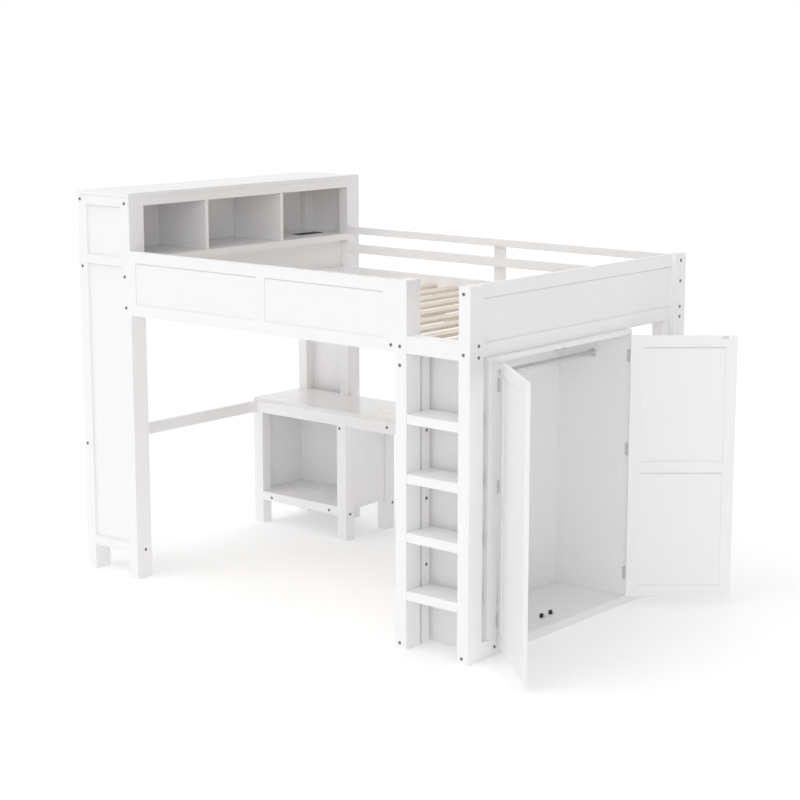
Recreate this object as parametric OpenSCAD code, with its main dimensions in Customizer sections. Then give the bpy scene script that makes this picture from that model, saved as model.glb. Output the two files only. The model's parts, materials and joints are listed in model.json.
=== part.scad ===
// Loft bed with a bookcase headboard, a ladder, a wardrobe under the foot end and a desk along the far side.
// +X runs from the head to the foot, +Y from the ladder side to the wall side, +Z up.
// The origin is the centre of the foot of the near back post.

/* [Overall size] */
// Length over the head posts and the foot posts
bed_l = 2330; // [2280:10:2400]
// Width over the near posts and the far posts
bed_w = 1585; // [1545:5:1640]
// Height of the bookcase headboard
head_h = 1815; // [1800:5:1860]
// Height of the guard rails and the foot rail
guard_h = 1553; // [1545:1:1565]
// Underside of the guard and of the foot rail
deck_z = 1255; // [1250:1:1262]

/* [Timber] */
// Post thickness along the bed
post_x = 57; // [50:1:60]
// Post width across the bed
post_y = 90; // [84:1:100]
// Thickness of rails and frame members
rail_t = 22; // [20:1:24]
// Thickness of cabinet boards
board_t = 18; // [16:1:20]
// Thickness of thin infill panels
panel_t = 10; // [8:1:12]

/* [Bookcase] */
// Depth of the bookcase
head_d = 353; // [330:1:370]
// Top of the bookcase shelf
shelf_z = 1518; // [1510:1:1525]
// Thickness of the bookcase shelf
shelf_t = 33; // [30:1:36]
// Distance from the near side to the first divider
divider_1 = 486; // [450:1:520]
// Distance from the near side to the second divider
divider_2 = 1000; // [960:1:1040]

/* [Ladder] */
// Distance from the head to the ladder
ladder_x = 1945; // [1935:1:1950]
// Height from one step to the next
step_pitch = 249; // [240:1:250]
// Thickness of a step
step_t = 41; // [30:1:45]
// Depth of a step
step_d = 152; // [140:1:155]

/* [Wardrobe] */
// Distance from the near side to the door opening
door_near = 188; // [185:1:195]
// Distance from the near side to the far edge of the door opening
door_far = 1137; // [1100:1:1150]
// Height of the plinth
plinth_h = 40; // [36:1:50]
// Thickness of the doors
door_t = 20; // [18:1:22]
// Angle at which the near door stands open
near_open = 131; // [0:1:160]
// Angle at which the far door stands open
far_open = 131; // [0:1:160]

/* [Desk] */
// Height of the desktop
desk_h = 667; // [640:1:690]
// Distance from the near side to the front of the desk
desk_y = 1150; // [1120:1:1170]
// Depth of the desk
desk_d = 375; // [355:1:380]
// Width of the cabinet under the desk
cabinet_w = 642; // [600:1:680]

/* [Slats] */
// Number of slats
slat_count = 13; // [11:1:14]
// Width of a slat
slat_w = 70; // [60:1:80]
// Thickness of a slat
slat_t = 15; // [12:1:18]

/* [Hidden] */
$fn = 48;
eps = 0.01;

// How far a cut runs past the face it opens
past = 1;

// Main planes
x_back = -post_x / 2;
x_head = x_back + head_d;
x_foot = x_back + bed_l;
x_ladder = x_back + ladder_x;
x_tread = x_ladder + post_x;
x_corner = x_foot - post_x;
y_near = -post_y / 2;
y_far = y_near + bed_w;
y_in = y_near + post_y;
y_out = y_far - post_y;
y_desk = y_near + desk_y;
y_wall = y_desk + desk_d;

// Head unit
cap_t = 20;
cap_z = head_h - cap_t;
head_rail_h = 40;
open_top = cap_z - head_rail_h;
end_t = 33;
end_set = 14;
end_top_h = 45;
end_mid_z = 1477;
end_mid_h = 43;
end_low_z = 122;
back_set = 14;
back_t = 12;
x_bookback = x_back + back_set + back_t;
divider_t = board_t;
low_panel_t = 14;

// Charging station let into the shelf
power = [56, 164];
power_x = x_back + 177;
power_y = y_near + 1274;
power_gap = 0.3;
power_deep = 28;
insert = [36, 46, 13];
insert_count = 3;
insert_pitch = 52;
insert_start = 7;
insert_gap = 0.1;
slot = [2.2, 8, 6];
slot_x = [11, 23];
slot_y = [8, 30];
lip = 3;
lip_t = 2;

// Bed frame
foot_set = 21;
x_footrail = x_foot - foot_set - rail_t;
guard_top_h = 53;
guard_low_h = 55;
guard_stile = 33;
guard_mid = [803, 850];
guard_last = 68;
guard_set = 6;
foot_top_h = 56;
foot_low_h = 61;
ledger = [22, 20];
slat_z = deck_z + 30;
slat_pitch = 148;
slat_end = 7;
slat_play = 2;
beam = [56, 28];
side_lo = deck_z - 10;
side_h = [55, 100];
far_top = [guard_h - 35, guard_h];
far_mid = [guard_h - 133, guard_h - 89];
mid_post = [1287, 1345];
mid_drop = 18;
inner_leg = 57;

// Ladder
step_z = 216;
top_step_h = 72;
rear_y = [105, 152];
step_count = 4;

// Wardrobe
side_y = y_near + door_near - board_t;
y_hinge_n = y_near + door_near;
y_hinge_f = y_near + door_far;
top_t = 22;
wtop_z = deck_z - top_t;
stile_y = y_near + 128;
kick_h = 78;
back_panel_t = 12;
rod_r = 12.5;
rod_x = x_foot - 193;
rod_z = 1132;
rod_end = 4;
rod_fit = 0.1;
flange_r = 18;
flange_t = 3;
cup_r = 15.5;
cup_l = 16;
catch_size = [12, 14];
catch_low_h = 18;
catch_high_h = 12;
keeper_size = [10, 20, 5];
catch_low = [[90, 631, 1], [90, 697, 1]];
catch_high = [[41, 633, -1], [41, 692, 1]];

// Doors, drawn closed and then swung about their pins
gap = 3;
door_w = (door_far - door_near - 3 * gap) / 2;
door_lo = plinth_h + gap;
door_hi = wtop_z - gap;
door_stile = 52;
door_mid = [613, 665];
pin_out = 3.4;
pin_r = 1.5;
pin_fit = 0.05;
knuckle_r = 3;
leaf_t = 1;
leaf_w = 12;
hinge_h = 56;
hinge_zs = [149, 717, 1138];
knuckles = 5;
knuckle_gap = 0.3;
pin_cap = 1.5;
strike = [1.5, 26, 12];
strike_off = 56;

// Desk
desk_t = 18;
desk_l = 1828;
apron_h = 57;
apron_z = desk_h - desk_t - apron_h;
leg = 60;
shelf_lo = 126;
shelf_hi = 171;
side_set = 15;

// Bolts with wide flat heads, as distances from the head or from the near side, and heights
head_r = 6.5;
head_t = 2.2;
shank_r = 3.5;
shank_l = 20;
board_shank = 15;
shank_fit = 0.05;
hole_end = 0.5;
socket_r = 2.9;
socket_deep = 1.6;
back_post_bolts = [[18, 1774], [24, 1461], [21, 612]];
front_post_bolts = [[322, 1768], [315, 1432], [320, 1289]];
guard_bolts = [[1920, 1283]];
ladder_bolts = [[1968, 1282], [1968, 1204], [1968, 25]];
corner_bolts = [[2297, 1523], [2297, 1280], [2297, 25]];
corner_end_bolts = [[56, 1313], [56, 1266]];
far_end_bolts = [for (z = [1523, 1430, 1313, 1267]) [bed_w - 44, z]];
plinth_bolts = [[177, 40]];
head_bolts = [[52, 135]];
rear_bolts = [for (z = [344, 629, 919]) [131, z]];
apron_bolts = [[desk_l / 2, 625]];
leg_bolts = [[600, 578]];
leg_side_bolts = [[desk_y + 30, 136], [desk_y + desk_d - 14, 136]];
band_bolts = [[122, 145], [526, 145]];

paint = "white";
pine = "burlywood";
steel = "silver";
black = "dimgray";

// A board that fills the given stretches of X, Y and Z
module board(x, y, z) {
    translate([x[0], y[0], z[0]]) cube([x[1] - x[0], y[1] - y[0], z[1] - z[0]]);
}

// Turns +Z to point out of a face: "near" is -Y, "foot" is +X
module facing(side) {
    if (side == "near") rotate([90, 0, 0]) children();
    else rotate([0, 90, 0]) children();
}

// The blind hole that a bolt's shank sits in, open at the face
module bolt_hole(length = shank_l) {
    depth = length + hole_end;
    translate([0, 0, -depth]) cylinder(r = shank_r + shank_fit, h = depth + past);
}

// A bolt with a wide flat head and a hexagon socket, its head resting on the face at Z = 0
module bolt(length = shank_l) {
    difference() {
        union() {
            cylinder(r = head_r, h = head_t);
            translate([0, 0, -length]) cylinder(r = shank_r, h = length + eps);
        }
        translate([0, 0, head_t - socket_deep]) cylinder(r = socket_r, h = head_t, $fn = 6);
    }
}

// Bolt places on a face that looks to the near side and on a face that looks to the foot
module at_near(points, y = y_near) {
    for (p = points) translate([x_back + p[0], y, p[1]]) facing("near") children();
}

module at_foot(points, x = x_foot) {
    for (p = points) translate([x, y_near + p[0], p[1]]) facing("foot") children();
}

// ---- Head unit ----

module head_post(x, y) {
    board([x, x + post_x], [y, y + post_y], [0, cap_z]);
}

module near_back_post() {
    color(paint) difference() {
        head_post(x_back, y_near);
        at_near(back_post_bolts) bolt_hole();
    }
}

module near_front_post() {
    color(paint) difference() {
        head_post(x_head - post_x, y_near);
        at_near(front_post_bolts) bolt_hole();
        at_foot(head_bolts, x_head) bolt_hole();
    }
}

module far_back_post() {
    color(paint) head_post(x_back, y_out);
}

module far_front_post() {
    color(paint) head_post(x_head - post_x, y_out);
}

// Top, middle and bottom rails between a back post and a front post
module end_frame(y) {
    x = [x_back + post_x, x_head - post_x];
    board(x, [y, y + end_t], [cap_z - end_top_h, cap_z]);
    board(x, [y, y + end_t], [end_mid_z, end_mid_z + end_mid_h]);
    board(x, [y, y + end_t], [end_low_z, end_low_z + end_mid_h]);
}

// Upper and lower panels set back from the rails' outer face
module end_panels(y) {
    x = [x_back + post_x, x_head - post_x];
    thick = end_t - end_set;
    board(x, [y, y + thick], [end_mid_z + end_mid_h, cap_z - end_top_h]);
    board(x, [y, y + thick], [end_low_z + end_mid_h, end_mid_z]);
}

module near_end_frame() {
    color(paint) end_frame(y_near);
}

module near_end_panels() {
    color(paint) end_panels(y_near + end_set);
}

module far_end_frame() {
    color(paint) end_frame(y_far - end_t);
}

module far_end_panels() {
    color(paint) end_panels(y_far - end_t);
}

module bookcase_top() {
    color(paint) board([x_back, x_head], [y_near, y_far], [cap_z, head_h]);
}

module bookcase_top_rail() {
    color(paint) board([x_head - rail_t, x_head], [y_in, y_out], [open_top, cap_z]);
}

// Shelf between the posts, widened behind them to reach the end rails
module bookcase_shelf() {
    z = [shelf_z - shelf_t, shelf_z];
    color(paint) difference() {
        union() {
            board([x_bookback, x_head], [y_in, y_out], z);
            board([x_back + post_x, x_head - post_x], [y_near + end_t, y_far - end_t], z);
        }
        translate([power_x, power_y, z[0] - past])
            cube([power[0], power[1], shelf_t + 2 * past]);
    }
}

module bookcase_back() {
    color(paint) board([x_back + back_set, x_bookback], [y_in, y_out], [end_mid_z, cap_z]);
}

module bookcase_dividers() {
    color(paint) for (d = [divider_1, divider_2]) {
        y = [y_near + d, y_near + d + divider_t];
        union() {
            board([x_bookback, x_head], y, [shelf_z, open_top]);
            board([x_bookback, x_head - rail_t], y, [shelf_z, cap_z]);
        }
    }
}

module headboard_panel() {
    x = x_head - post_x;
    color(paint) board([x, x + low_panel_t], [y_in, y_out], [deck_z, shelf_z - shelf_t]);
}

module headboard_rail() {
    x = x_head - post_x + low_panel_t;
    color(paint) board([x, x + rail_t], [y_in, y_out], [side_lo, side_lo + side_h[1]]);
}

module head_stretcher() {
    color(paint) board([x_back, x_back + rail_t], [y_in, y_desk], [apron_z, desk_h - desk_t]);
}

// Black housing with a thin lip that rests on the shelf, hollowed for its inserts
module charging_station() {
    body = [power[0] - 2 * power_gap, power[1] - 2 * power_gap];
    color(black) difference() {
        union() {
            translate([power_x + power_gap, power_y + power_gap, shelf_z - power_deep])
                cube([body[0], body[1], power_deep + eps]);
            translate([power_x - lip, power_y - lip, shelf_z])
                cube([power[0] + 2 * lip, power[1] + 2 * lip, lip_t]);
        }
        insert_places() translate([0, 0, -insert[2]])
            cube([insert[0], insert[1], insert[2] + lip_t + past]);
    }
}

module insert_places() {
    x = power_x + (power[0] - insert[0]) / 2;
    for (i = [0 : insert_count - 1])
        translate([x, power_y + insert_start + i * insert_pitch, shelf_z]) children();
}

// Inserts with plain generic slots
module charging_sockets() {
    g = insert_gap;
    color(black) insert_places() difference() {
        translate([g, g, g - insert[2]]) cube([insert[0] - 2 * g, insert[1] - 2 * g, insert[2] - g + lip_t]);
        for (x = slot_x) for (y = slot_y)
            translate([x, y, -slot[2]]) cube([slot[0], slot[1], slot[2] + lip_t + past]);
    }
}

// ---- Bed frame ----

module near_corner_post() {
    color(paint) difference() {
        board([x_corner, x_foot], [y_near, y_in], [0, guard_h]);
        at_near(corner_bolts) bolt_hole();
        at_foot(corner_end_bolts) bolt_hole();
    }
}

module far_corner_post() {
    color(paint) difference() {
        board([x_corner, x_foot], [y_out, y_far], [0, guard_h]);
        at_foot(far_end_bolts) bolt_hole();
    }
}

module far_inner_leg() {
    x = x_foot - foot_set;
    color(paint) board([x - inner_leg, x], [y_out - inner_leg, y_out], [0, deck_z]);
}

module near_guard_frame() {
    y = [y_near, y_near + rail_t];
    z = [deck_z, guard_h];
    inner = [deck_z + guard_low_h, guard_h - guard_top_h];
    color(paint) difference() {
        board([x_head, x_ladder], y, z);
        board([x_head + guard_stile, x_head + guard_mid[0]], [y[0] - past, y[1] + past], inner);
        board([x_head + guard_mid[1], x_ladder - guard_last], [y[0] - past, y[1] + past], inner);
        at_near(guard_bolts) bolt_hole();
    }
}

module near_guard_panels() {
    y = [y_near + guard_set, y_near + guard_set + panel_t];
    z = [deck_z + guard_low_h, guard_h - guard_top_h];
    color(paint) {
        board([x_head + guard_stile, x_head + guard_mid[0]], y, z);
        board([x_head + guard_mid[1], x_ladder - guard_last], y, z);
    }
}

// Bed rail beside the mattress, in two lengths either side of the ladder's left post
module near_side_rails() {
    y = [y_in - rail_t, y_in];
    z = [side_lo, side_lo + side_h[0]];
    color(paint) {
        board([x_head, x_ladder], y, z);
        board([x_tread, x_corner], y, z);
    }
}

module far_guard_rails() {
    color(paint) for (z = [far_top, far_mid]) board([x_head, x_corner], [y_out, y_out + rail_t], z);
}

module far_side_rail() {
    color(paint) board([x_head, x_corner], [y_out, y_out + rail_t], [side_lo, side_lo + side_h[1]]);
}

// Short post bolted behind the far rails
module far_mid_post() {
    x = [x_back + mid_post[0], x_back + mid_post[1]];
    color(paint) board(x, [y_out + rail_t, y_out + 2 * rail_t], [side_lo, guard_h - mid_drop]);
}

module foot_rail_frame() {
    x = [x_footrail, x_footrail + rail_t];
    color(paint) {
        board(x, [y_in, y_out], [guard_h - foot_top_h, guard_h]);
        board(x, [y_in, y_out], [deck_z, deck_z + foot_low_h]);
    }
}

module foot_rail_panel() {
    x = x_footrail + (rail_t - panel_t) / 2;
    color(paint) board([x, x + panel_t], [y_in, y_out], [deck_z + foot_low_h, guard_h - foot_top_h]);
}

module slat_ledgers() {
    z = [slat_z - ledger[1], slat_z];
    color(paint) {
        board([x_head, x_footrail], [y_in, y_in + ledger[0]], z);
        board([x_head, x_footrail], [y_out - ledger[0], y_out], z);
    }
}

module centre_beam() {
    y = (y_near + y_far) / 2;
    x = [x_head - post_x + low_panel_t + rail_t, x_footrail];
    color(pine) board(x, [y - beam[0] / 2, y + beam[0] / 2], [slat_z - beam[1], slat_z]);
}

module slats() {
    color(pine) for (i = [0 : slat_count - 1]) {
        x = x_footrail - slat_end - i * slat_pitch;
        board([x - slat_w, x], [y_in + slat_play, y_out - slat_play], [slat_z, slat_z + slat_t]);
    }
}

// ---- Ladder ----

module ladder_left_post() {
    color(paint) difference() {
        board([x_ladder, x_tread], [y_near, y_in], [0, guard_h]);
        at_near(ladder_bolts) bolt_hole();
    }
}

module ladder_rear_post() {
    color(paint) difference() {
        board([x_ladder, x_tread], [y_near + rear_y[0], y_near + rear_y[1]], [0, wtop_z]);
        at_foot(rear_bolts, x_tread) bolt_hole();
    }
}

module ladder_top_board() {
    color(paint) board([x_tread, x_corner], [y_near, y_near + post_x], [deck_z, deck_z + top_step_h]);
}

module ladder_steps() {
    color(paint) for (i = [0 : step_count - 1]) {
        z = step_z + i * step_pitch;
        board([x_tread, x_corner], [y_near, y_near + step_d], [z, z + step_t]);
    }
}

// ---- Wardrobe ----

module wardrobe_near_side() {
    color(paint) board([x_ladder, x_foot - board_t], [side_y, y_hinge_n], [0, wtop_z]);
}

module wardrobe_far_side() {
    color(paint) difference() {
        board([x_ladder, x_foot], [y_hinge_f, y_hinge_f + board_t], [0, wtop_z]);
        board([x_foot - board_t, x_foot + past], [y_hinge_f - past, y_hinge_f + board_t + past],
            [-past, plinth_h]);
    }
}

module wardrobe_back() {
    color(paint) board([x_ladder, x_ladder + back_panel_t], [y_hinge_n, y_hinge_f], [0, wtop_z]);
}

module wardrobe_top() {
    color(paint) board([x_ladder, x_foot], [stile_y, y_hinge_f + board_t], [wtop_z, deck_z]);
}

module wardrobe_bottom() {
    color(paint) board([x_ladder + back_panel_t, x_foot - board_t], [y_hinge_n, y_hinge_f],
        [plinth_h - board_t, plinth_h]);
}

module wardrobe_stile() {
    color(paint) board([x_foot - board_t, x_foot], [stile_y, y_hinge_n], [kick_h, wtop_z]);
}

// Plinth board, left taller beside the corner post where the stile stands on it
module plinth_rail() {
    x = [x_foot - board_t, x_foot];
    color(paint) difference() {
        union() {
            board(x, [y_in, y_hinge_n], [0, kick_h]);
            board(x, [y_in, y_out], [0, plinth_h]);
        }
        at_foot(plinth_bolts) bolt_hole(board_shank);
    }
}

module hanging_rod() {
    color(steel) translate([rod_x, y_hinge_n + rod_end, rod_z]) rotate([-90, 0, 0])
        cylinder(r = rod_r, h = door_far - door_near - 2 * rod_end);
}

module rod_socket() {
    difference() {
        union() {
            cylinder(r = flange_r, h = flange_t);
            cylinder(r = cup_r, h = cup_l);
        }
        translate([0, 0, flange_t]) cylinder(r = rod_r + rod_fit, h = cup_l);
    }
}

// Steel keepers that sit beside the black catches, and the two sockets that hold the rod
module wardrobe_fittings() {
    color(steel) {
        translate([rod_x, y_hinge_n, rod_z]) rotate([-90, 0, 0]) rod_socket();
        translate([rod_x, y_hinge_f, rod_z]) rotate([90, 0, 0]) rod_socket();
        for (c = catch_low) at_catch(c, plinth_h) keeper(c[2]);
        for (c = catch_high) at_catch(c, wtop_z - keeper_size[2]) keeper(c[2]);
    }
}

// Catch places: distance in from the foot, distance from the near side, side on which the keeper lies
module at_catch(c, z) {
    translate([x_foot - c[0], y_near + c[1], z]) children();
}

module keeper(side) {
    y = side * (catch_size[1] + keeper_size[1]) / 2;
    translate([-keeper_size[0] / 2, y - keeper_size[1] / 2, 0]) cube(keeper_size);
}

// Two catches under the top board and two on the bottom board
module door_catches() {
    color(black) {
        for (c = catch_low) at_catch(c, plinth_h) catch(catch_low_h);
        for (c = catch_high) at_catch(c, wtop_z - catch_high_h) catch(catch_high_h);
    }
}

module catch(h) {
    translate([-catch_size[0] / 2, -catch_size[1] / 2, 0]) cube([catch_size[0], catch_size[1], h]);
}

// ---- Doors ----

// Near door in hinge coordinates: origin on the pin's axis, +Y towards the free edge, outer face at -pin_out
module door_frame_closed() {
    y0 = gap / 2;
    x = [-pin_out - door_t, -pin_out];
    open_y = [y0 + door_stile, y0 + door_w - door_stile];
    difference() {
        board(x, [y0, y0 + door_w], [door_lo, door_hi]);
        board([x[0] - past, x[1] + past], open_y, [door_lo + door_stile, door_mid[0]]);
        board([x[0] - past, x[1] + past], open_y, [door_mid[1], door_hi - door_stile]);
    }
}

module door_panels_closed() {
    y0 = gap / 2;
    x0 = -pin_out - (door_t + panel_t) / 2;
    open_y = [y0 + door_stile, y0 + door_w - door_stile];
    board([x0, x0 + panel_t], open_y, [door_lo + door_stile, door_mid[0]]);
    board([x0, x0 + panel_t], open_y, [door_mid[1], door_hi - door_stile]);
}

// One leaf with its own knuckles; odd leaves carry knuckles 0, 2 and 4, even ones 1 and 3
module hinge_leaf(first, bore) {
    len = (hinge_h - (knuckles - 1) * knuckle_gap) / knuckles;
    mine = [for (i = [first : 2 : knuckles - 1]) i * (len + knuckle_gap)];
    y = -gap / 2;
    difference() {
        union() {
            board([-pin_out - leaf_w, -pin_out], [y, y + leaf_t], [0, hinge_h]);
            for (z = mine) {
                translate([0, 0, z]) cylinder(r = knuckle_r, h = len);
                board([-pin_out - eps, 0], [y, y + leaf_t], [z, z + len]);
            }
        }
        translate([0, 0, -past]) cylinder(r = bore, h = hinge_h + 2 * past);
    }
}

module hinge_heights() {
    for (z = hinge_zs) translate([0, 0, z - hinge_h / 2]) children();
}

module carcass_side() {
    hinge_heights() hinge_leaf(0, pin_r + pin_fit / 2);
}

module door_side() {
    hinge_heights() mirror([0, 1, 0]) hinge_leaf(1, pin_r + pin_fit);
}

// Thin plate on the door's inner face, near the top of its free edge
module door_plate() {
    y = (door_far - door_near - gap) / 2 - strike_off;
    z = door_hi - gap / 2 - strike[2];
    translate([-pin_out - door_t - strike[0], y - strike[1] / 2, z]) cube(strike);
}

// Places a near-door piece on the near pin, swung open by the given angle
module on_near_pin(angle) {
    translate([x_foot + pin_out, y_hinge_n + gap / 2, 0]) rotate([0, 0, -angle]) children();
}

module on_far_pin(angle) {
    translate([x_foot + pin_out, y_hinge_f - gap / 2, 0]) rotate([0, 0, angle]) mirror([0, 1, 0]) children();
}

module carcass_leaves() {
    color(steel) {
        on_near_pin(0) carcass_side();
        on_far_pin(0) carcass_side();
    }
}

module pins() {
    hinge_heights() {
        cylinder(r = pin_r, h = hinge_h);
        translate([0, 0, hinge_h]) cylinder(r = knuckle_r, h = pin_cap);
    }
}

module hinge_pins() {
    color(steel) {
        on_near_pin(0) pins();
        on_far_pin(0) pins();
    }
}

module near_door_frame() {
    color(paint) on_near_pin(near_open) door_frame_closed();
}

module near_door_panels() {
    color(paint) on_near_pin(near_open) door_panels_closed();
}

module near_door_fittings() {
    color(steel) on_near_pin(near_open) {
        door_side();
        door_plate();
    }
}

module far_door_frame() {
    color(paint) on_far_pin(far_open) door_frame_closed();
}

module far_door_panels() {
    color(paint) on_far_pin(far_open) door_panels_closed();
}

module far_door_fittings() {
    color(steel) on_far_pin(far_open) {
        door_side();
        door_plate();
    }
}

// ---- Desk ----

// Desktop cut back round the two far posts of the head unit
module desktop() {
    z = [desk_h - desk_t, desk_h];
    color(paint) difference() {
        board([x_back, x_back + desk_l], [y_desk, y_wall], z);
        board([x_back - past, x_back + post_x], [y_out, y_wall + past], [z[0] - past, z[1] + past]);
        board([x_head - post_x, x_head], [y_out, y_wall + past], [z[0] - past, z[1] + past]);
    }
}

// Front apron, back rail and the cross rail under the desktop
module desk_rails() {
    z = [apron_z, desk_h - desk_t];
    x = x_back + (desk_l - rail_t) / 2;
    color(paint) difference() {
        union() {
            board([x_back, x_back + desk_l], [y_desk, y_desk + rail_t], z);
            board([x_back, x_back + desk_l], [y_out - rail_t, y_out], z);
            board([x, x + rail_t], [y_desk, y_out], z);
        }
        at_near(apron_bolts, y_desk) bolt_hole();
    }
}

// Square legs at the cabinet's front corners and right back corner, and two at the desk's right end
module desk_legs() {
    front = [0, cabinet_w - leg, desk_l - leg];
    color(paint) difference() {
        union() {
            for (x = front) board([x_back + x, x_back + x + leg], [y_desk, y_desk + leg], [0, apron_z]);
            for (x = [front[1], front[2]])
                board([x_back + x, x_back + x + leg], [y_wall - leg, y_wall], [0, apron_z]);
        }
        at_near(leg_bolts, y_desk) bolt_hole();
        at_foot(leg_side_bolts, x_back + cabinet_w) bolt_hole();
    }
}

// Side panels set back from the legs' outer faces and a back panel against the far posts
module cabinet_panels() {
    z = [shelf_hi, apron_z];
    right = x_back + cabinet_w - side_set;
    color(paint) {
        board([x_back + side_set, x_back + side_set + panel_t], [y_desk + leg, y_out - panel_t], z);
        board([right - panel_t, right], [y_desk + leg, y_wall - leg], z);
        board([x_back + side_set, x_back + cabinet_w - leg], [y_out - panel_t, y_out], z);
    }
}

// Bottom shelf with a front band between the legs
module cabinet_shelf() {
    z = [shelf_hi - board_t, shelf_hi];
    right = x_back + cabinet_w - leg;
    color(paint) difference() {
        union() {
            board([x_back + leg, right], [y_desk, y_desk + rail_t], [shelf_lo, shelf_hi]);
            board([x_back + leg, right], [y_desk, y_out], z);
            board([x_back + side_set, right], [y_desk + leg, y_out], z);
            board([x_back + side_set, x_back + cabinet_w - side_set], [y_desk + leg, y_wall - leg], z);
        }
        at_near(band_bolts, y_desk) bolt_hole();
    }
}

// ---- Fasteners ----

module frame_bolts() {
    color(steel) {
        at_near(concat(back_post_bolts, front_post_bolts, guard_bolts, ladder_bolts, corner_bolts)) bolt();
        at_foot(concat(corner_end_bolts, far_end_bolts)) bolt();
        at_foot(plinth_bolts) bolt(board_shank);
        at_foot(head_bolts, x_head) bolt();
        at_foot(rear_bolts, x_tread) bolt();
        at_near(concat(apron_bolts, leg_bolts, band_bolts), y_desk) bolt();
        at_foot(leg_side_bolts, x_back + cabinet_w) bolt();
    }
}

near_back_post();
near_front_post();
far_back_post();
far_front_post();
near_end_frame();
near_end_panels();
far_end_frame();
far_end_panels();
bookcase_top();
bookcase_top_rail();
bookcase_shelf();
bookcase_back();
bookcase_dividers();
headboard_panel();
headboard_rail();
head_stretcher();
charging_station();
charging_sockets();
near_corner_post();
far_corner_post();
far_inner_leg();
near_guard_frame();
near_guard_panels();
near_side_rails();
far_guard_rails();
far_side_rail();
far_mid_post();
foot_rail_frame();
foot_rail_panel();
slat_ledgers();
centre_beam();
slats();
ladder_left_post();
ladder_rear_post();
ladder_top_board();
ladder_steps();
wardrobe_near_side();
wardrobe_far_side();
wardrobe_back();
wardrobe_top();
wardrobe_bottom();
wardrobe_stile();
plinth_rail();
hanging_rod();
wardrobe_fittings();
door_catches();
desktop();
desk_rails();
desk_legs();
cabinet_panels();
cabinet_shelf();
frame_bolts();
carcass_leaves();
hinge_pins();
near_door_frame();
near_door_panels();
near_door_fittings();
far_door_frame();
far_door_panels();
far_door_fittings();
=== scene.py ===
"""Looks for the loft bed: materials, edge rounding, small metal and plastic details, light and camera."""
import json
import math

import bmesh
import bpy
from mathutils import Matrix, Vector


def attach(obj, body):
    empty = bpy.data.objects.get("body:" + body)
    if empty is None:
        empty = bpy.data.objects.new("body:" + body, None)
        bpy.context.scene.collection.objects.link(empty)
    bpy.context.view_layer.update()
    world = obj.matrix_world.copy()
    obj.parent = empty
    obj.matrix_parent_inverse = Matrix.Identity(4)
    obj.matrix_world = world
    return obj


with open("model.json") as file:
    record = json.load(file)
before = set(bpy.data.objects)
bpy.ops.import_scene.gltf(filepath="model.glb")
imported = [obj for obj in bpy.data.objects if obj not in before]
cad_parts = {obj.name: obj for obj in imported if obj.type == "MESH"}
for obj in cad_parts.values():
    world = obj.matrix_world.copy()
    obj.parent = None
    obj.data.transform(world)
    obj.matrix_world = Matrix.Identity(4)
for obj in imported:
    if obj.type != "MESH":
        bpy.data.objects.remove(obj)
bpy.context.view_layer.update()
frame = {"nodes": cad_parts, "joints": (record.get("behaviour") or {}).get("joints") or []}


# ---- Node helpers ----

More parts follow.
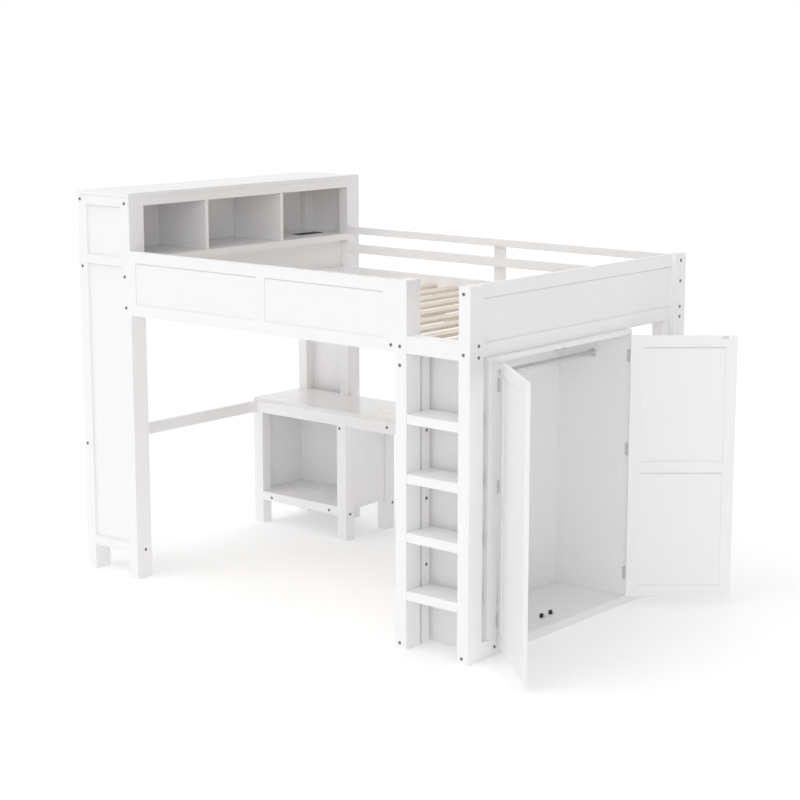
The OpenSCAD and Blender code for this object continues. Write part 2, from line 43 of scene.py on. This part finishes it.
class Tree:
    """Short calls for building one material's nodes."""

    def __init__(self, name):
        self.mat = bpy.data.materials.new(name)
        self.mat.use_nodes = True
        self.nt = self.mat.node_tree
        self.nt.nodes.clear()
        self.out = self.add("ShaderNodeOutputMaterial")
        self.bsdf = self.add("ShaderNodeBsdfPrincipled")
        self.link(self.bsdf.outputs[0], self.out.inputs[0])

    def add(self, kind, **settings):
        n = self.nt.nodes.new(kind)
        for k, v in settings.items():
            setattr(n, k, v)
        return n

    def link(self, a, b):
        self.nt.links.new(a, b)

    def coords(self, scale, turn=(0, 0, 0)):
        tc = self.add("ShaderNodeTexCoord")
        mp = self.add("ShaderNodeMapping")
        mp.inputs["Scale"].default_value = scale
        mp.inputs["Rotation"].default_value = turn
        self.link(tc.outputs["Object"], mp.inputs["Vector"])
        return mp.outputs["Vector"]

    def noise(self, vec, scale, detail=4.0, rough=0.5, distortion=0.0):
        n = self.add("ShaderNodeTexNoise")
        n.inputs["Scale"].default_value = scale
        n.inputs["Detail"].default_value = detail
        n.inputs["Roughness"].default_value = rough
        n.inputs["Distortion"].default_value = distortion
        self.link(vec, n.inputs["Vector"])
        return n.outputs["Fac"]

    def ramp(self, fac, stops):
        r = self.add("ShaderNodeValToRGB")
        e = r.color_ramp.elements
        while len(e) < len(stops):
            e.new(0.5)
        for el, (p, c) in zip(e, stops):
            el.position = p
            el.color = (*c, 1.0) if isinstance(c, tuple) else (c, c, c, 1.0)
        self.link(fac, r.inputs["Fac"])
        return r.outputs["Color"]

    def math(self, op, a, b=None, c=None):
        m = self.add("ShaderNodeMath", operation=op)
        for s, v in zip(m.inputs, (a, b, c)):
            if v is None:
                continue
            if isinstance(v, (int, float)):
                s.default_value = v
            else:
                self.link(v, s)
        return m.outputs[0]

    def mix(self, fac, a, b, blend="MIX"):
        m = self.add("ShaderNodeMix", data_type="RGBA", blend_type=blend)
        for s, v in ((m.inputs[0], fac), (m.inputs[6], a), (m.inputs[7], b)):
            if isinstance(v, tuple):
                s.default_value = (*v, 1.0)
            elif isinstance(v, (int, float)):
                s.default_value = v
            else:
                self.link(v, s)
        return m.outputs[2]

    def bump(self, height, strength, distance, normal=None):
        b = self.add("ShaderNodeBump")
        b.inputs["Strength"].default_value = strength
        b.inputs["Distance"].default_value = distance
        self.link(height, b.inputs["Height"])
        if normal is not None:
            self.link(normal, b.inputs["Normal"])
        return b.outputs["Normal"]

    def flat(self):
        """The face's own normal, so that boards stay flat between their rounded edges."""
        return self.add("ShaderNodeNewGeometry").outputs["True Normal"]

    def open_to(self, lean, reach):
        """How much of the space on the side that lean gives is free of other surfaces within reach."""
        side = self.add("ShaderNodeVectorMath", operation="ADD")
        self.link(self.flat(), side.inputs[0])
        side.inputs[1].default_value = (0.0, 0.0, lean)
        unit = self.add("ShaderNodeVectorMath", operation="NORMALIZE")
        self.link(side.outputs[0], unit.inputs[0])
        ao = self.add("ShaderNodeAmbientOcclusion", samples=8)
        ao.inputs["Distance"].default_value = reach
        self.link(unit.outputs[0], ao.inputs["Normal"])
        return ao.outputs["AO"]

    def painted_shade_below(self, reach, lean=1.4):
        """A mask of painted shade for upright faces: it rises just below an overhanging rail, where shade
        falls, and is 0 elsewhere.
        """
        shut = self.math("SUBTRACT", self.open_to(-lean, reach), self.open_to(lean, reach))
        split = self.add("ShaderNodeSeparateXYZ")
        self.link(self.flat(), split.inputs[0])
        upright = self.math("SUBTRACT", 1.0, self.math("ABSOLUTE", split.outputs["Z"]))
        return self.math("MULTIPLY", shut, upright)

    def edges(self, radius, low=0.02, high=0.22):
        """A mask that is 1 along sharp edges and 0 on flat faces."""
        bv = self.add("ShaderNodeBevel", samples=4)
        bv.inputs["Radius"].default_value = radius
        geo = self.add("ShaderNodeNewGeometry")
        dot = self.add("ShaderNodeVectorMath", operation="DOT_PRODUCT")
        self.link(bv.outputs[0], dot.inputs[0])
        self.link(geo.outputs["Normal"], dot.inputs[1])
        turned = self.math("SUBTRACT", 1.0, dot.outputs["Value"])
        mr = self.add("ShaderNodeMapRange")
        mr.inputs["From Min"].default_value = low
        mr.inputs["From Max"].default_value = high
        self.link(turned, mr.inputs["Value"])
        return mr.outputs[0]

    def set(self, **values):
        for k, v in values.items():
            self.bsdf.inputs[k.replace("_", " ")].default_value = v


# Coordinates stretched along one axis draw that axis's grain
GRAIN = {"x": (0.06, 1.0, 1.0), "y": (1.0, 0.06, 1.0), "z": (1.0, 1.0, 0.06)}

# How far below an overhanging rail the painted shade reaches, and how dark it gets at most
PAINTED_SHADE_REACH = 0.006
PAINTED_SHADE_DEPTH = 0.6


def paint(name, along, white, rough, coat, raised=0.10):
    """Sprayed satin paint on board: the timber's fibres show through faintly, edges are thin, and shade is
    painted below overhanging rails.
    """
    t = Tree(name)
    straight = t.coords((1.0, 1.0, 1.0))
    fibre = t.coords(GRAIN[along])
    cloud = t.noise(straight, 2.3, 3.0, 0.55)
    lines = t.noise(fibre, 210.0, 5.0, 0.62, 0.15)
    pores = t.noise(fibre, 620.0, 2.0, 0.5)
    peel = t.noise(straight, 520.0, 2.0, 0.5)
    cool = tuple(c * k for c, k in zip(white, (0.990, 0.992, 1.0)))
    warm = tuple(c * k for c, k in zip(white, (1.0, 0.994, 0.988)))
    body = t.mix(t.ramp(cloud, [(0.32, 0.0), (0.68, 1.0)]), cool, warm)
    dim = tuple(c * 0.97 for c in white)
    body = t.mix(t.ramp(lines, [(0.47, 0.0), (0.72, 0.5)]), body, dim)
    edge = t.edges(0.0022)
    thin = t.math("MULTIPLY", edge, t.ramp(t.noise(straight, 95.0, 4.0, 0.7), [(0.50, 0.0), (0.66, 0.55)]))
    body = t.mix(thin, body, (0.80, 0.785, 0.76))
    # Painted shade: upright faces turn darker grey just below overhanging rails, where light from above is
    # cut off
    painted_shade = t.ramp(t.painted_shade_below(PAINTED_SHADE_REACH), [(0.20, 0.0), (0.50, PAINTED_SHADE_DEPTH)])
    body = t.mix(painted_shade, body, (0.42, 0.415, 0.41))
    t.link(body, t.bsdf.inputs["Base Color"])
    r = t.math("MULTIPLY_ADD", cloud, 0.12, rough - 0.06)
    r = t.math("MULTIPLY_ADD", pores, raised * 0.6, r)
    r = t.math("MULTIPLY_ADD", edge, -0.06, r)
    t.link(r, t.bsdf.inputs["Roughness"])
    n = t.bump(lines, raised, 0.0004, t.flat())
    n = t.bump(peel, raised, 0.00025, n)
    t.link(n, t.bsdf.inputs["Normal"])
    t.set(Specular_IOR_Level=0.5, Coat_Weight=coat, Coat_Roughness=0.18)
    return t.mat


def timber(name, along, cross):
    """Bare planed pine: early and late wood in long bands, fine fibres and a few small knots."""
    t = Tree(name)
    s = [1.0, 1.0, 1.0]
    s["xyz".index(along)] = 0.045
    fibre = t.coords(tuple(s))
    straight = t.coords((1.0, 1.0, 1.0))
    k = [5.0, 5.0, 5.0]
    k["xyz".index(along)] = 2.2
    knot_space = t.coords(tuple(k))
    vor = t.add("ShaderNodeTexVoronoi", feature="F1", distance="EUCLIDEAN")
    vor.inputs["Scale"].default_value = 1.0
    vor.inputs["Randomness"].default_value = 1.0
    t.link(knot_space, vor.inputs["Vector"])
    knot = t.ramp(vor.outputs["Distance"], [(0.05, 1.0), (0.12, 0.0)])
    warp = t.noise(fibre, 9.0, 3.0, 0.5)
    turned = t.math("MULTIPLY_ADD", warp, 9.0, t.math("MULTIPLY", t.noise(fibre, 38.0, 2.0, 0.4), 6.0))
    turned = t.math("MULTIPLY_ADD", knot, 2.5, turned)
    band = t.math("FRACT", t.math("MULTIPLY", turned, 1.6))
    late = t.ramp(band, [(0.0, 0.15), (0.62, 0.30), (0.86, 1.0), (0.97, 0.35), (1.0, 0.12)])
    fine = t.noise(fibre, 700.0, 3.0, 0.6)
    tone = t.noise(straight, cross, 2.0, 0.5)
    pale = t.mix(t.ramp(tone, [(0.35, 0.0), (0.65, 1.0)]), (0.83, 0.76, 0.67), (0.77, 0.69, 0.59))
    body = t.mix(t.math("MULTIPLY", late, 0.6), pale, (0.66, 0.56, 0.45))
    body = t.mix(t.ramp(fine, [(0.45, 0.0), (0.75, 0.3)]), body, (0.60, 0.51, 0.41))
    body = t.mix(t.math("MULTIPLY", knot, 0.7), body, (0.40, 0.28, 0.19))
    t.link(body, t.bsdf.inputs["Base Color"])
    t.link(t.math("MULTIPLY_ADD", late, -0.10, 0.62), t.bsdf.inputs["Roughness"])
    n = t.bump(fine, 0.18, 0.0004, t.flat())
    n = t.bump(late, 0.12, 0.0004, n)
    t.link(n, t.bsdf.inputs["Normal"])
    t.set(Specular_IOR_Level=0.35)
    return t.mat


def brushed(name, along, colour, rough):
    """Brushed steel with fine scratches along one axis and worn, brighter edges."""
    t = Tree(name)
    s = [1.0, 1.0, 1.0]
    s["xyz".index(along)] = 0.03
    scratch = t.noise(t.coords(tuple(s)), 2600.0, 3.0, 0.6)
    smear = t.noise(t.coords((1.0, 1.0, 1.0)), 70.0, 4.0, 0.6)
    dark = tuple(c * 0.72 for c in colour)
    body = t.mix(t.ramp(scratch, [(0.35, 0.0), (0.7, 1.0)]), dark, colour)
    body = t.mix(t.edges(0.0008), body, tuple(min(1.0, c * 1.25) for c in colour))
    t.link(body, t.bsdf.inputs["Base Color"])
    t.link(t.math("MULTIPLY_ADD", smear, 0.22, rough - 0.1), t.bsdf.inputs["Roughness"])
    t.link(t.bump(scratch, 0.2, 0.00008), t.bsdf.inputs["Normal"])
    t.set(Metallic=1.0, Anisotropic=0.45)
    return t.mat


def coated(name, colour, rough):
    """Dark plated bolt steel: mottled, with bare metal showing on the rims."""
    t = Tree(name)
    straight = t.coords((1.0, 1.0, 1.0))
    mottle = t.noise(straight, 900.0, 4.0, 0.6)
    body = t.mix(t.ramp(mottle, [(0.35, 0.0), (0.7, 1.0)]), colour, tuple(c * 1.7 for c in colour))
    body = t.mix(t.math("MULTIPLY", t.edges(0.0006), 0.7), body, (0.42, 0.42, 0.43))
    t.link(body, t.bsdf.inputs["Base Color"])
    t.link(t.math("MULTIPLY_ADD", mottle, 0.2, rough - 0.1), t.bsdf.inputs["Roughness"])
    t.link(t.bump(mottle, 0.15, 0.00008), t.bsdf.inputs["Normal"])
    t.set(Metallic=0.85)
    return t.mat


def plastic(name, colour, rough):
    """Moulded plastic with a fine spark-eroded grain and rubbed edges."""
    t = Tree(name)
    straight = t.coords((1.0, 1.0, 1.0))
    grain = t.noise(straight, 1700.0, 2.0, 0.5)
    flow = t.noise(straight, 30.0, 3.0, 0.5)
    body = t.mix(t.ramp(flow, [(0.3, 0.0), (0.7, 1.0)]), colour, tuple(c * 1.5 for c in colour))
    body = t.mix(t.math("MULTIPLY", t.edges(0.0008), 0.5), body, tuple(c * 3.0 for c in colour))
    t.link(body, t.bsdf.inputs["Base Color"])
    t.link(t.math("MULTIPLY_ADD", grain, 0.16, rough - 0.08), t.bsdf.inputs["Roughness"])
    t.link(t.bump(grain, 0.25, 0.0001), t.bsdf.inputs["Normal"])
    t.set(Specular_IOR_Level=0.45)
    return t.mat


# ---- Materials of the nodes ----

WHITE = (0.93, 0.924, 0.927)
PAINT = {a: paint("white_paint_" + a, a, WHITE, 0.40, 0.06) for a in "xyz"}
DESK = paint("desk_paint", "x", (0.86, 0.857, 0.858), 0.26, 0.5, 0.015)
PINE = {a: timber("pine_" + a, a, 7.0) for a in "xy"}
STEEL = {a: brushed("brushed_steel_" + a, a, (0.86, 0.86, 0.865), 0.42) for a in "yz"}
SCREW = brushed("screw_steel", "z", (0.60, 0.60, 0.61), 0.30)
BOLT = coated("bolt_metal", (0.16, 0.16, 0.165), 0.40)
BLACK = plastic("black_plastic", (0.018, 0.018, 0.02), 0.48)

# The painted nodes whose grain runs along x or y; all others have it upright
ALONG = {
    "x": ["near_end_frame", "far_end_frame", "near_guard_frame", "near_guard_panels", "near_side_rails",
          "far_guard_rails", "far_side_rail", "slat_ledgers", "ladder_top_board", "ladder_steps",
          "wardrobe_top", "wardrobe_bottom", "desk_rails", "cabinet_shelf"],
    "y": ["bookcase_top", "bookcase_top_rail", "bookcase_shelf", "bookcase_back", "headboard_panel",
          "headboard_rail", "head_stretcher", "foot_rail_frame", "foot_rail_panel", "plinth_rail"],
}
SPECIAL = {
    "desktop": DESK, "slats": PINE["y"], "centre_beam": PINE["x"], "frame_bolts": BOLT,
    "hanging_rod": STEEL["y"], "wardrobe_fittings": STEEL["y"], "carcass_leaves": STEEL["z"],
    "hinge_pins": STEEL["z"], "near_door_fittings": STEEL["z"], "far_door_fittings": STEEL["z"],
    "charging_station": BLACK, "charging_sockets": BLACK, "door_catches": BLACK,
}
# Radius of the rounded edges where it isn't EDGE; 0 where a panel's edges are hidden in its frame
EDGE = 0.0016
LEAF_EDGE = 0.0002
HIDDEN = ["near_door_panels", "far_door_panels", "near_guard_panels", "foot_rail_panel", "near_end_panels",
          "far_end_panels"]
THIN = ["hinge_pins", "carcass_leaves", "near_door_fittings", "far_door_fittings"]
ROUND = {
    "hanging_rod": 0.0008, "wardrobe_fittings": 0.0006, "frame_bolts": 0.0004, "charging_station": 0.0007,
    "charging_sockets": 0.0004, "door_catches": 0.0012, "slats": 0.0022, "centre_beam": 0.002,
    "ladder_steps": 0.003, "bookcase_top": 0.0025, "desktop": 0.002,
}
ROUND.update({name: 0 for name in HIDDEN})
ROUND.update({name: LEAF_EDGE for name in THIN})


def soften(obj, width):
    """Rounds an object's sharp edges a little; a panel let into a frame has none that show."""
    if not width:
        return
    weld = obj.modifiers.new("weld", "WELD")
    weld.merge_threshold = 0.00001
    bev = obj.modifiers.new("round", "BEVEL")
    bev.width = width
    bev.segments = 2
    bev.limit_method = "ANGLE"
    bev.angle_limit = math.radians(40)
    bev.harden_normals = False
    bev.use_clamp_overlap = True


for node, obj in frame["nodes"].items():
    mat = SPECIAL.get(node)
    if mat is None:
        mat = PAINT[next((a for a, names in ALONG.items() if node in names), "z")]
    obj.data.materials.clear()
    obj.data.materials.append(mat)
    soften(obj, ROUND.get(node, EDGE))


# ---- Small pieces ----

def new_piece(name, bm, mat, body):
    """Turns built faces into a smooth piece that rides on a body."""
    me = bpy.data.meshes.new(name)
    bmesh.ops.recalc_face_normals(bm, faces=bm.faces)
    bm.to_mesh(me)
    bm.free()
    for p in me.polygons:
        p.use_smooth = True
    me.materials.append(mat)
    o = bpy.data.objects.new(name, me)
    bpy.context.scene.collection.objects.link(o)
    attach(o, body)


def frame_of(w):
    """Two directions square to w, for building a round thing that points along w."""
    side = Vector((0.0, 0.0, 1.0)) if abs(w.z) < 0.9 else Vector((1.0, 0.0, 0.0))
    u = side.cross(w).normalized()
    return u, w.cross(u)


# A cross-head's recess as parts of the head's radius: reach and half width of an arm, depth, taper, centre
ARM_REACH = 0.62
ARM_HALF = 0.15
ARM_DEEP = 0.35
ARM_TAPER = 0.8
POINT_DEEP = 1.3


def cross_head(bm, at, w, radius, turn, sides=32):
    """A countersunk head with a cross recess: a dished ring whose floor drops into four arms."""
    u0, v0 = frame_of(w)
    u = u0 * math.cos(turn) + v0 * math.sin(turn)
    v = w.cross(u)
    deep = radius * ARM_DEEP
    rim, arm, sunk = [], [], []
    for i in range(sides):
        a = 2 * math.pi * (i + 0.5) / sides
        toward = u * math.cos(a) + v * math.sin(a)
        lean = min(abs(math.cos(a)), abs(math.sin(a)))
        r = radius * min(ARM_REACH, ARM_HALF / lean)
        rim.append(bm.verts.new(at + toward * radius))
        arm.append(bm.verts.new(at + toward * r + w * 0.0001))
        sunk.append(bm.verts.new(at + toward * r * ARM_TAPER - w * deep))
    mid = bm.verts.new(at - w * deep * POINT_DEEP)
    for i in range(sides):
        j = (i + 1) % sides
        bm.faces.new((rim[i], rim[j], arm[j], arm[i]))
        bm.faces.new((arm[i], arm[j], sunk[j], sunk[i]))
        bm.faces.new((sunk[i], sunk[j], mid))


def turned(bm, at, w, profile, sides=24):
    """A turned rim that points along w: profile is (radius, height) pairs from its foot inwards."""
    u, v = frame_of(w)
    rows = []
    for r, h in profile:
        angles = [2 * math.pi * i / sides for i in range(sides)]
        rows.append([bm.verts.new(at + u * r * math.cos(a) + v * r * math.sin(a) + w * h) for a in angles])
    for a, b in zip(rows, rows[1:]):
        for i in range(sides):
            j = (i + 1) % sides
            bm.faces.new((a[i], a[j], b[j], b[i]))


# Hinge screws: three on each leaf, the middle one offset, on the faces the leaves show
HAND = {"near": -1.0, "far": 1.0}
# Middle heights of the hinges, and each screw's height from there and distance in from the leaf's edge
HINGE_Z = (0.149, 0.717, 1.138)
LEAF_SCREWS = ((-0.019, 0.0048), (0.0, 0.0082), (0.019, 0.0048))
# The pin line to the leaf's edge, the doors' angle at rest, and the pin line to the leaf's face
PIN_OUT = 0.0034
OPEN = math.radians(131.0)
LEAF_FACE = 0.00052
# The screw head, and the raised rim round it as radius and height
HEAD_R = 0.0021
RIM = ((0.0026, -0.0001), (0.0026, 0.00008), (HEAD_R, 0.0002))
RIM_TOP = RIM[-1][1]


def hinge_screws(pin, hand, body, door, angle, flip):
    """The screws of the leaves that one body carries on one door's pin line, as one piece."""
    rot = Matrix.Rotation(angle, 3, "Z")
    out = rot @ Vector((0.0, -hand * flip, 0.0))
    bm = bmesh.new()
    for k, z in enumerate(HINGE_Z):
        for m, (dz, inward) in enumerate(LEAF_SCREWS):
            on_leaf = Vector((-PIN_OUT - inward, hand * flip * LEAF_FACE, 0.0))
            at = Vector((pin.x, pin.y, z + dz)) + rot @ on_leaf
            turned(bm, at, out, RIM)
            cross_head(bm, at + out * RIM_TOP, out, HEAD_R, 0.4 + 1.3 * m + 0.7 * k)
    new_piece("%s_%s_hinge_screws" % (body, door), bm, SCREW, body)


for joint in frame["joints"]:
    hand = HAND[joint["name"].split("_")[0]]
    door = joint["child"]
    hinge_screws(Vector(joint["pos_m"]), hand, "bed", door, 0.0, 1.0)
    hinge_screws(Vector(joint["pos_m"]), hand, door, door, hand * OPEN, -1.0)


# ---- Floor, light and camera ----

# Half the floor's side
FLOOR_HALF = 600


def pale_floor():
    """A plain matt floor, slightly self-lit so that it stays white, out to the horizon."""
    t = Tree("pale_floor")
    cloud = t.noise(t.coords((1, 1, 1)), 1.1, 4.0, 0.5)
    t.link(t.ramp(cloud, [(0.3, 0.90), (0.7, 0.92)]), t.bsdf.inputs["Base Color"])
    t.set(Roughness=0.9, Specular_IOR_Level=0.1, Emission_Color=(1.0, 1.0, 1.0, 1.0), Emission_Strength=0.17)
    me = bpy.data.meshes.new("floor")
    corners = [(x * FLOOR_HALF, y * FLOOR_HALF, 0) for x, y in ((-1, -1), (1, -1), (1, 1), (-1, 1))]
    me.from_pydata(corners, [], [(0, 1, 2, 3)])
    me.materials.append(t.mat)
    floor = bpy.data.objects.new("floor", me)
    bpy.context.scene.collection.objects.link(floor)


pale_floor()

world = bpy.data.worlds.new("studio")
bpy.context.scene.world = world
world.use_nodes = True
wn = world.node_tree
wn.nodes.clear()
w_out = wn.nodes.new("ShaderNodeOutputWorld")
w_bg = wn.nodes.new("ShaderNodeBackground")
w_bg.inputs["Color"].default_value = (1.0, 1.0, 1.0, 1.0)
w_tc = wn.nodes.new("ShaderNodeTexCoord")
wn.links.new(w_bg.outputs[0], w_out.inputs[0])


def lobe(toward, start, full, gain, below):
    """Adds a soft patch of light round one direction to the light that reaches the object from all round."""
    dot = wn.nodes.new("ShaderNodeVectorMath")
    dot.operation = "DOT_PRODUCT"
    dot.inputs[1].default_value = Vector(toward).normalized()
    wn.links.new(w_tc.outputs["Generated"], dot.inputs[0])
    ramp = wn.nodes.new("ShaderNodeMapRange")
    ramp.interpolation_type = "SMOOTHSTEP"
    ramp.inputs["From Min"].default_value = start
    ramp.inputs["From Max"].default_value = full
    ramp.inputs["To Min"].default_value = 0.0
    ramp.inputs["To Max"].default_value = gain
    wn.links.new(dot.outputs["Value"], ramp.inputs["Value"])
    total = wn.nodes.new("ShaderNodeMath")
    total.operation = "ADD"
    wn.links.new(ramp.outputs[0], total.inputs[0])
    if isinstance(below, float):
        total.inputs[1].default_value = below
    else:
        wn.links.new(below, total.inputs[1])
    return total.outputs[0]


def horizon(start, full, below):
    """Keeps a thin white band where the floor meets the surroundings, so that every view ends in white."""
    split = wn.nodes.new("ShaderNodeSeparateXYZ")
    wn.links.new(w_tc.outputs["Generated"], split.inputs[0])
    height = wn.nodes.new("ShaderNodeMath")
    height.operation = "ABSOLUTE"
    wn.links.new(split.outputs["Z"], height.inputs[0])
    ramp = wn.nodes.new("ShaderNodeMapRange")
    ramp.inputs["From Min"].default_value = start
    ramp.inputs["From Max"].default_value = full
    wn.links.new(height.outputs[0], ramp.inputs["Value"])
    brighter = wn.nodes.new("ShaderNodeMath")
    brighter.operation = "MAXIMUM"
    wn.links.new(ramp.outputs[0], brighter.inputs[0])
    wn.links.new(below, brighter.inputs[1])
    return brighter.outputs[0]


SKY = 0.40
LOBES = [
    # toward, where it starts and where it is full as cosines, and its gain
    ((-0.63, 0.75, 0.1), 0.80, 0.93, 1.0 - SKY),    # white surroundings behind the object
    ((1.0, 0.0, 0.0), 0.1, 0.9, -0.36),             # shade on the foot end
    ((-0.3, -0.64, 0.70), 0.86, 0.98, 1.0),         # key, high over the ladder side
    ((0.70, -0.68, 0.22), 0.86, 0.98, 1.75),        # fill, low and from the front
    ((0.0, 0.0, 1.0), 0.5, 0.9, 0.88),              # overhead
]
glow = SKY
for toward, start, full, gain in LOBES:
    glow = lobe(toward, start, full, gain, glow)
glow = horizon(0.09, 0.035, glow)
wn.links.new(glow, w_bg.inputs["Strength"])

cam_data = bpy.data.cameras.new("camera")
cam_data.sensor_width = 36.0
cam_data.lens = 86.9
cam = bpy.data.objects.new("camera", cam_data)
cam.location = (6.9395, -5.969, 2.537)
cam.rotation_euler = Vector((-0.6335, 0.7507, -0.1872)).to_track_quat("-Z", "Y").to_euler()
bpy.context.scene.collection.objects.link(cam)
bpy.context.scene.camera = cam
bpy.context.scene.view_settings.view_transform = "Standard"
